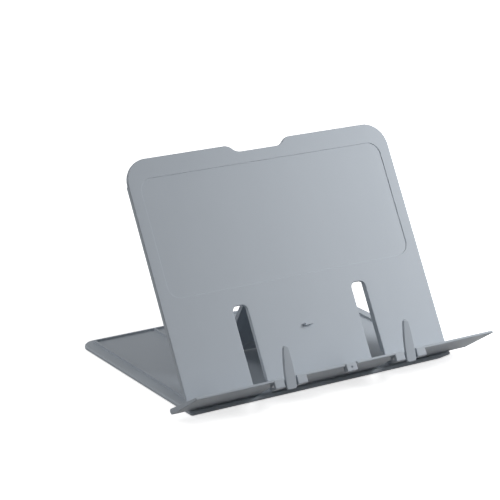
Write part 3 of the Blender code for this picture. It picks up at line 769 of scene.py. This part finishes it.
def bracketOutline():
    # Round the ledge's pin and back to the panel, with a toe under the ledge, level with its underside
    y, z = hingeLine["y"], hingeLine["z"]
    radius = joint["knuckleRadius"]
    aboveSteps, belowSteps = fineness["bracket"]
    above = arc(y, z, radius, *hingeLine["above"], aboveSteps)
    toeTop = z + ledge["under"] - joint["gap"]
    toeLow = z + joint["gap"] / 2
    reach = hingeLine["toe"]
    start = radius / hingeLine["toeStart"]
    toe = [
        (y - radius, toeTop),
        (y - reach, toeTop),
        (y - reach, toeLow + underside(-reach)),
        (y - start, toeLow + underside(-start)),
    ]
    below = arc(y, z, radius, *hingeLine["below"], belowSteps)
    back = [hingeLine["back"], (hingeLine["back"][0], z + radius - joint["gap"])]
    return pathOf(above, toe, below, back)


def makePanel():
    # A plate with a shallow field, joined with the ribs behind it, the knuckles and brackets of both
    # hinge lines, the lugs of the prop's rod, and the lug that the catch snaps over
    half = panel["width"] / 2
    field = half - panel["fieldInset"]
    fieldTop = panel["high"] - panel["fieldInset"] - panel["notchDepth"]
    low = panel["fieldLow"]
    corners = [(-field, low), (field, low), (field, fieldTop), (-field, fieldTop)]
    corners = [(*corner, panel["fieldRadius"]) for corner in corners]
    recess = roundedOutline(corners, fineness["panelCorner"])
    pockets = [(recess, panel["fieldDepth"], panel["fieldEdge"])]
    levels = [panel[key] for key in ("rear", "front", "rearEdge", "frontEdge")]
    slab = plate(panelOutline(), *levels, highPockets=pockets)
    shells = []

    ribY = (-panel["rear"] - panel["sunk"], panel["ribDepth"] - panel["rear"])
    width = panel["ribWidth"]
    sideRib = half - panel["frontEdge"] - width
    off, past = panel["slotRib"]
    bySlot = clipPlace["offset"] + panel["slotHalf"] + off
    inner = panel["innerRib"]
    start = inner + panel["crossIn"]
    shallow = (ribY[0], ribY[1] - panel["crossDown"])
    for _, side in sides:
        x = (side * sideRib, side * (sideRib + width))
        shells.append(bar(x, ribY, (base["flare"], panel["ribTop"])))
        x = (side * bySlot, side * (bySlot + width))
        shells.append(bar(x, ribY, (base["flare"], panel["crossRibs"][0] + past)))
        x = about(side * inner, width / 2)
        shells.append(bar(x, ribY, (base["flare"], panel["ribTop"])))
        across = (side * start, side * (sideRib + width / 2))
        for z in (*panel["crossRibs"], panel["ribTop"] - width - panel["crossTop"]):
            shells.append(bar(across, shallow, (z, z + width)))
    top = (panel["ribTop"] - width - panel["topRib"][0], panel["ribTop"] - panel["topRib"][1])
    x = (panel["topRibIn"] - inner, inner - panel["topRibIn"])
    shells.append(bar(x, (ribY[0], ribY[1] - panel["topRibDown"]), top))

    radius = joint["knuckleRadius"]
    halfKnuckle = base["knuckleWidth"] / 2
    for _, side in sides:
        x = about(side * base["earAt"], halfKnuckle)
        around = arc(0.0, 0.0, radius, -90.0, 90.0, fineness["hub"])
        back = [(panel["knuckleBack"], radius), (panel["knuckleBack"], -radius)]
        shells.append(drawnOut(pathOf(around, back), x, joint["edge"], (bore,)))
    inner = hingeLine["knuckleWidth"] / 2 + joint["gap"]
    spot = (hingeLine["y"], hingeLine["z"])
    hole = bore + spot
    for centre in hingeLine["sites"]:
        for low in (centre - inner - hingeLine["earWidth"], centre + inner):
            x = (low, low + hingeLine["earWidth"])
            shells.append(drawnOut(bracketOutline(), x, joint["edge"], (hole,)))
    holeRod = circle(0.0, propLength, rod["hole"], fineness["bore"])
    for _, side in sides:
        x = sorted((side * rod["lugIn"], side * (rod["lugIn"] + rod["lugWidth"])))
        around = arc(0.0, propLength, radius, *rod["lugArc"], fineness["lug"])
        rear = -panel["rear"]
        over, under = propLength + rod["lugFlare"], propLength - rod["lugFlare"]
        back = [(rear, over), (rear - panel["sunk"], over), (rear - panel["sunk"], under), (rear, under)]
        shells.append(drawnOut(pathOf(around, back), x, joint["edge"], (holeRod,)))
    lug = snapLug
    y = (-panel["front"] - lug["reach"], -panel["front"] + lug["sunk"])
    shells.append(bar((-lug["halfWidth"], lug["halfWidth"]), y, (lug["low"], lug["high"])))
    mesh = fused(facing(slab), shells, (), panel["softEdge"])
    addPiece("backrestPanel", "backrest", "platinum_plastic", mesh, "backrest_panel")

    reach = inner + hingeLine["earWidth"]
    for name, centre in zip(("left", "middle", "right"), hingeLine["sites"]):
        x = about(centre, reach)
        addPin("ledgeHingePin_" + name, "backrest", x, spot, "ledge_hinge_pin_" + name)
    reach = rod["lugIn"] + rod["lugWidth"] + rod["past"]
    spot = (0.0, propLength)
    addPin("propHingeRod", "backrest", (-reach, reach), spot, "prop_hinge_rod", rod["radius"])
    for name, side in sides:
        x = sorted(side * (reach + end) for end in cap["ends"])
        addTube("propRodCap_" + name, "backrest", "dark_nylon", cap, x, spot, "prop_rod_cap_" + name)


# Ledge, with -Y out to the rim and +Z its top

ledge = {
    "width": 310.0,
    "front": -47.0,
    "rear": -2.9,
    "under": 0.4,
    "top": 2.6,
    "corner": 1.5,
    "cornerOut": 0.06,  # the corner's cutter stands this far out, clear of the faces that it rounds
    "rimEdge": 0.75,
    "endEdge": 0.3,
    "softEdge": 0.25,
    "slotHalf": 6.75,
    "slotEnd": -9.5,
    "slotSkin": 1.1,
    "slotCorner": 1.0,
    "bossWidth": 9.5,
    "bossLow": -5.8,
    "bossTop": 2.2,
    "bossProud": 0.15,
    "bossDepth": 8.4,
    "bossCorner": 1.3,
    "bossLip": 0.6,
    "bossEdge": 0.45,
    "bossIn": 1.0,  # how far a boss runs in past its slot's side before the slot is cut
    "overrun": 2.0,
}
# Its ends are measured from the clip's middle
washer = {"ends": (5.3, 6.45), "radius": 2.2, "bore": 1.3, "edge": 0.25}
catch = {
    "halfWidth": 5.35,
    "height": 7.0,
    "depth": 5.8,
    "edge": 0.6,
    "dimple": 0.9,
    "dimpleDepth": 1.2,
    "dimpleEdge": 0.15,
    "finReach": 1.0,
    "finHeight": 0.8,
    "finIn": 0.8,
    "finEdge": 0.2,
}


def beadTouch():
    # Where the straight underside from the rim touches the bead, in radians round the hinge axis
    run = math.hypot(ledge["front"], ledge["under"])
    return math.atan2(ledge["under"], ledge["front"]) + math.acos(joint["knuckleRadius"] / run)


def underside(y):
    # The height of the straight underside at depth y
    radius = joint["knuckleRadius"]
    touchY, touchZ = radius * math.cos(beadTouch()), radius * math.sin(beadTouch())
    share = (y - ledge["front"]) / (touchY - ledge["front"])
    return ledge["under"] + (touchZ - ledge["under"]) * share


def ledgeSection():
    # A flat top, a round bead on the hinge axis, and a straight underside that touches the bead
    bead = arc(0.0, 0.0, joint["knuckleRadius"], math.degrees(beadTouch()), 450.0, fineness["bead"])
    corners = [(y, z, 0.0) for y, z in bead]
    corners += [(ledge["front"], ledge[side], ledge["rimEdge"]) for side in ("top", "under")]
    return roundedOutline(corners, fineness["rim"])


def rimCorner(side):
    # What lies outside the ledge's round front corner, seen from above
    corner, over = ledge["corner"], ledge["overrun"]
    x = ledge["width"] / 2 - corner + ledge["cornerOut"]
    y = ledge["front"] + corner - ledge["cornerOut"]
    beyond = [(x, y - corner - over), (x + corner + over, y - corner - over), (x + corner + over, y)]
    around = arc(x, y, corner, 0.0, -90.0, fineness["rimCorner"])
    outline = pathOf(around, beyond) * (side, 1.0)
    return plate(outline[::side], -over, ledge["top"] + over, 0.0, 0.0)


def ledgeCuts():
    # The slots with the channels behind them, room for the backrest's ears and toes, the bores of the
    # hinge pins, the catch's seat and the round corners
    over = ledge["overrun"]
    radius = joint["knuckleRadius"]
    tall = (ledge["bossLow"] - over, ledge["top"] + over)
    cuts = [rimCorner(side) for _, side in sides]
    for _, side in sides:
        x = about(side * clipPlace["offset"], ledge["slotHalf"])
        slot = box(x, (ledge["front"] - 2 * over, ledge["slotEnd"]), ledge["slotCorner"])
        cuts.append(plate(slot, *tall, 0.0, 0.0))
        behind = (ledge["slotEnd"] - 2 * over, radius + over)
        cuts.append(bar(x, behind, (-radius - over, ledge["top"] - ledge["slotSkin"])))
    toe = -hingeLine["toe"] - joint["gap"]
    top = ledge["top"] + over
    rear = radius + over
    room = [(toe, -rear), (rear, -rear), (rear, top), (ledge["rear"], top)]
    room = np.array([*room, (ledge["rear"], ledge["under"]), (toe, ledge["under"])])
    inner = hingeLine["knuckleWidth"] / 2
    outer = inner + hingeLine["earWidth"] + 2 * joint["gap"]
    for centre in hingeLine["sites"]:
        for _, hand in sides:
            cuts.append(drawnOut(room, sorted((centre + hand * inner, centre + hand * outer))))
        through = (centre - inner - over, centre + inner + over)
        cuts.append(drill(joint["boreRadius"], through, 0.0, 0.0))
    seat = catch["halfWidth"] + joint["gap"]
    seatY = (ledge["front"] - over, ledge["front"] - ledge["bossProud"] + catch["depth"] + joint["gap"])
    cuts.append(bar((-seat, seat), seatY, (ledge["under"] - over, ledge["top"] + over)))
    seat += catch["finReach"]
    middle = (ledge["under"] + ledge["top"]) / 2
    groove = catch["finHeight"] / 2 + joint["gap"]
    cuts.append(bar((-seat, seat), seatY, about(middle, groove)))
    return cuts


def makeLedge():
    # The section drawn out to the width, joined with two bosses by each slot, less the cuts and the
    # bores of the clips' pins. The catch is a block with a dimple and a fin that its seat holds.
    half = ledge["width"] / 2
    slab = drawnOut(ledgeSection(), (-half, half), ledge["endEdge"])
    front = ledge["front"] - ledge["bossProud"]
    rear = front + ledge["bossDepth"]
    low, top, corner = ledge["bossLow"], ledge["bossTop"], ledge["bossCorner"]
    corners = [(front, low, corner), (rear, low, corner), (rear, top, 0.0), (front, top, ledge["bossLip"])]
    shape = roundedOutline(corners, fineness["boss"])
    bosses = []
    cuts = ledgeCuts()
    for _, side in sides:
        centre = side * clipPlace["offset"]
        for _, hand in sides:
            near = centre + hand * (ledge["slotHalf"] - ledge["bossIn"])
            far = centre + hand * (ledge["slotHalf"] + ledge["bossWidth"])
            bosses.append(drawnOut(shape, sorted((near, far)), ledge["bossEdge"]))
        reach = ledge["slotHalf"] + ledge["bossWidth"] + ledge["overrun"]
        cuts.append(drill(joint["boreRadius"], about(centre, reach), clipPlace["pinY"], clipPlace["pinZ"]))
    mesh = fused(slab, bosses, cuts, ledge["softEdge"])
    addPiece("ledgeTray", "ledge", "platinum_plastic", mesh, "ledge_tray")

    high = ledge["top"] - joint["gap"]
    halfWidth, edge = catch["halfWidth"], catch["edge"]
    outline = box((-halfWidth, halfWidth), (high - catch["height"], high), edge)
    hollow = circle(0.0, high - catch["height"] / 2, catch["dimple"], fineness["dimple"])
    dimples = [(hollow, catch["dimpleDepth"], catch["dimpleEdge"])]
    block = plate(outline, -front - catch["depth"], -front, edge, edge, highPockets=dimples)
    middle = (ledge["under"] + ledge["top"]) / 2
    finZ = about(middle, catch["finHeight"] / 2)
    finY = (ledge["front"] + catch["finIn"], front + catch["depth"] - catch["finIn"])
    reach = halfWidth + catch["finReach"]
    mesh = fused(facing(block), [bar((-reach, reach), finY, finZ, catch["finEdge"])])
    addPiece("catchBlock", "ledge", "platinum_plastic", mesh, "catch_block")

    reach = ledge["slotHalf"] + ledge["bossWidth"]
    spot = (clipPlace["pinY"], clipPlace["pinZ"])
    for name, side in sides:
        centre = side * clipPlace["offset"]
        addPin("clipPin_" + name, "ledge", about(centre, reach), spot, "clip_pin_" + name)
        for handName, hand in sides:
            x = sorted(centre + hand * end for end in washer["ends"])
            end = name + "_" + handName
            addTube("clipWasher_" + end, "ledge", "dark_nylon", washer, x, spot, "clip_washer_" + end)


# Page clips, with the pin at the origin and the tip up

clip = {
    "above": 31.6,
    "below": 5.3,
    "width": 10.0,
    "tipWidth": 5.4,
    "standoff": 1.9,
    "thickness": 2.8,
    "corner": 2.2,
    "edge": 0.6,
    "hub": 2.3,
    "hubEdge": 0.3,
    "neck": 1.4,  # how far the hub runs into the blade
    "softEdge": 0.15,
    "fullness": 2.1,
}


def clipOutline():
    # Up from the pin, the half width falls to the round tip's by the share of the way to the power of
    # the fullness, which keeps it fuller than a straight line. Below are two round corners.
    wide = clip["width"] / 2
    tip = clip["tipWidth"] / 2
    shoulder = clip["above"] - tip
    corner = clip["corner"]
    low = -clip["below"] + corner
    share = np.linspace(0.0, 1.0, fineness["taper"])[:-1]
    taper = np.stack((wide + (tip - wide) * share ** clip["fullness"], share * shoulder), 1)
    right = pathOf(arc(wide - corner, low, corner, -90.0, 0.0), taper)
    crown = arc(0.0, shoulder, tip, 0.0, 180.0, fineness["hub"])
    left = right[::-1] * (-1.0, 1.0)
    return pathOf(right, crown, left)


def makeClips():
    # A flat blade in front of the pin, joined with a hub round it
    for name, _ in sides:
        high = clip["standoff"] + clip["thickness"]
        blade = facing(plate(clipOutline(), clip["standoff"], high, clip["edge"], clip["edge"]))
        half = clip["width"] / 2
        around = arc(0.0, 0.0, clip["hub"], -90.0, 90.0, fineness["hub"])
        back = -clip["standoff"] - clip["neck"]
        shape = pathOf(around, [(back, clip["hub"]), (back, -clip["hub"])])
        hub = drawnOut(shape, (-half, half), clip["hubEdge"], (bore,))
        mesh = fused(blade, [hub], (), clip["softEdge"])
        addPiece("pageClip_" + name, name + "_clip", "platinum_plastic", mesh, "page_clip_" + name)


# Prop leg, with its hinge rod at the origin and the leg down -Z

prop = {
    "half": 44.0,  # half the width
    "flat": 2.1,  # half the thickness
    "corner": 0.6,
    "edge": 0.4,
    "border": 8.0,
    "middleBar": 2.0,  # half its width
    "web": 0.9,  # half its thickness
    "windowRadius": 2.0,
    "overrun": 1.0,
    "barrelIn": 0.3,
    "barrelEdge": 0.3,
    "foot": 2.2,
    "footBore": 1.55,
    "rodRadius": 1.3,
}
# Its ends are measured from the leg's side
sleeve = {"ends": (0.3, 6.3), "radius": prop["foot"], "bore": 1.35, "edge": 0.3}


def makeProp():
    # A slab, joined with a barrel at each end, less two windows sunk from both faces down to a web
    # and the two bores
    half = prop["half"]
    flat = prop["flat"]
    border = prop["border"]
    web = prop["web"]
    over = prop["overrun"]
    outline = box((-half, half), (-propLength, 0.0), prop["corner"])
    slab = facing(plate(outline, -flat, flat, prop["edge"], prop["edge"]))
    cuts = []
    for _, side in sides:
        x = (side * prop["middleBar"], side * (half - border))
        window = box(x, (border - propLength, -border), prop["windowRadius"])
        for c in ((web, flat + over), (-flat - over, -web)):
            cuts.append(facing(plate(window, *c, 0.0, 0.0)))
    barrels = []
    ends = ((joint["knuckleRadius"], rod["hole"], 0.0), (prop["foot"], prop["footBore"], -propLength))
    wide = half - prop["barrelIn"]
    for radius, hole, z in ends:
        barrels.append(endOn(barrel(radius, 0.0, -wide, wide, prop["barrelEdge"]), 0.0, z))
        cuts.append(drill(hole, (-half - over, half + over), 0.0, z))
    mesh = fused(slab, barrels, cuts)
    addPiece("propLeg", "prop", "platinum_plastic", mesh, "prop_leg")
    reach = half + max(sleeve["ends"])
    spot = (0.0, -propLength)
    addPin("propFootRod", "prop", (-reach, reach), spot, "prop_foot_rod", prop["rodRadius"])
    for name, side in sides:
        x = sorted(side * (half + end) for end in sleeve["ends"])
        node = "prop_foot_sleeve_" + name
        addTube("propFootSleeve_" + name, "prop", "black_rubber", sleeve, x, spot, node)


makeBase()
makePanel()
makeLedge()
makeClips()
makeProp()
print("pieces made")

# Floor, light and camera

floorLook = {
    "size": 30.0,
    "seen": (0.93, 0.93, 0.93),  # to the camera, gloss and glass
    "bounced": (0.05, 0.05, 0.055),  # what it throws back on the stand
    "roughness": 0.8,
    "glow": (0.70, 1.0),  # near the stand and far from it, where the floor fades to white
    "glowReach": (0.12, 0.6),  # metres
}


def seenFactor(nodes, links):
    # 1 where the camera, gloss or glass looks, and 0 for the light that surfaces throw on each other
    path = nodes.new("ShaderNodeLightPath")
    factor = path.outputs["Is Camera Ray"]
    for ray in ("Is Glossy Ray", "Is Transmission Ray"):
        factor = computed(nodes, links, "MAXIMUM", factor, path.outputs[ray])
    return factor


def makeFloor():
    # One wide square, pale to the camera and dark in the light that it throws back
    mesh = bpy.data.meshes.new("floor")
    half = floorLook["size"] / 2
    corners = [(-half, -half, 0.0), (half, -half, 0.0), (half, half, 0.0), (-half, half, 0.0)]
    mesh.from_pydata(corners, [], [(0, 1, 2, 3)])
    floor = bpy.data.objects.new("floor", mesh)
    bpy.context.scene.collection.objects.link(floor)
    material, nodes, links, shader = newMaterial("floorPaint")
    seen = seenFactor(nodes, links)
    mix = colourMix(nodes, links, seen, floorLook["bounced"], floorLook["seen"])
    links.new(mix, shader.inputs["Base Color"])
    shader.inputs["Roughness"].default_value = floorLook["roughness"]
    place = nodes.new("ShaderNodeTexCoord").outputs["Object"]
    away = nodes.new("ShaderNodeVectorMath")
    away.operation = "LENGTH"
    links.new(place, away.inputs[0])
    near, far = floorLook["glowReach"]
    fade = addNode(nodes, "ShaderNodeMapRange", **{"From Min": near, "From Max": far})
    fade.inputs["To Min"].default_value, fade.inputs["To Max"].default_value = floorLook["glow"]
    links.new(away.outputs["Value"], fade.inputs["Value"])
    glow = computed(nodes, links, "MULTIPLY", fade.outputs["Result"], seen)
    shader.inputs["Emission Color"].default_value = (1.0, 1.0, 1.0, 1.0)
    links.new(glow, shader.inputs["Emission Strength"])
    mesh.materials.append(material)


# Places, aims and sizes in metres, and power in watts
lights = {
    "key": {"place": (0.62, -0.45, 0.52), "aim": (0.0, -0.08, 0.05), "size": 0.4, "power": 6.3},
    "fill": {"place": (-1.35, -0.55, 0.5), "aim": (0.0, 0.0, 0.05), "size": 0.9, "power": 2.4},
    "top": {"place": (0.1, 0.25, 1.5), "aim": (0.0, 0.0, 0.05), "size": 1.2, "power": 1.3},
    "back": {"place": (-0.9, 1.3, 1.0), "aim": (0.0, 0.05, 0.05), "size": 1.0, "power": 9.0},
}


def makeLights():
    # Square lamps that the camera doesn't see
    for name, look in lights.items():
        lamp = bpy.data.lights.new(name + "Light", "AREA")
        lamp.shape = "SQUARE"
        lamp.size = look["size"]
        lamp.energy = look["power"]
        thing = bpy.data.objects.new(name + "Light", lamp)
        bpy.context.scene.collection.objects.link(thing)
        thing.location = look["place"]
        aim = Vector(look["aim"]) - Vector(look["place"])
        thing.rotation_euler = aim.to_track_quat("-Z", "Y").to_euler()
        thing.visible_camera = False


worldLook = {"ambient": 0.14, "seen": 1.0}


def makeWorld():
    # Soft ambient light, and plain white wherever the camera, gloss or glass looks past the floor
    world = bpy.data.worlds.new("studio")
    bpy.context.scene.world = world
    world.use_nodes = True
    nodes, links = world.node_tree.nodes, world.node_tree.links
    background = nodes["Background"]
    background.inputs["Color"].default_value = (1.0, 1.0, 1.0, 1.0)
    strength = spread(nodes, links, seenFactor(nodes, links), worldLook["ambient"], worldLook["seen"])
    links.new(strength, background.inputs["Strength"])


cameraLook = {
    "azimuth": -32.357,  # degrees
    "elevation": 17.536,
    "roll": 0.156,
    "distance": 1.7984,  # metres, as the drop and the clips are
    "focal": 2051.75,  # pixels, in a 500 pixel frame
    "frame": 500.0,
    "aimPixel": (324.39, 382.98),  # where the spot 6.1 mm under the ledge's hinge line shows
    "aimDrop": 0.0061,
    "sensor": 36.0,  # millimetres
    "clip": (0.05, 60.0),
}


def makeCamera():
    # Looks along its azimuth and elevation, and stands where the aimed spot falls on its pixel
    look = cameraLook
    a, e, r = (math.radians(look[key]) for key in ("azimuth", "elevation", "roll"))
    forward = Vector((-math.sin(a) * math.cos(e), math.cos(a) * math.cos(e), -math.sin(e)))
    level = Vector((math.cos(a), math.sin(a), 0.0))
    above = level.cross(forward)
    right = level * math.cos(r) + above * math.sin(r)
    up = above * math.cos(r) - level * math.sin(r)
    aim = Vector(bodySpots["ledge"][0] * millimetre) - Vector((0.0, 0.0, look["aimDrop"]))
    half = look["frame"] / 2
    across = (look["aimPixel"][0] - half) / look["focal"] * look["distance"]
    rise = (half - look["aimPixel"][1]) / look["focal"] * look["distance"]
    place = aim - forward * look["distance"] - right * across - up * rise
    data = bpy.data.cameras.new("camera")
    data.sensor_width = look["sensor"]
    data.sensor_fit = "HORIZONTAL"
    data.lens = look["focal"] / look["frame"] * look["sensor"]
    data.clip_start, data.clip_end = look["clip"]
    camera = bpy.data.objects.new("camera", data)
    bpy.context.scene.collection.objects.link(camera)
    turn = Matrix((right, up, -forward)).transposed().to_4x4()
    camera.matrix_world = Matrix.Translation(place) @ turn
    bpy.context.scene.camera = camera


makeFloor()
makeLights()
makeWorld()
makeCamera()
bpy.context.scene.view_settings.view_transform = "Standard"
print("stage made")

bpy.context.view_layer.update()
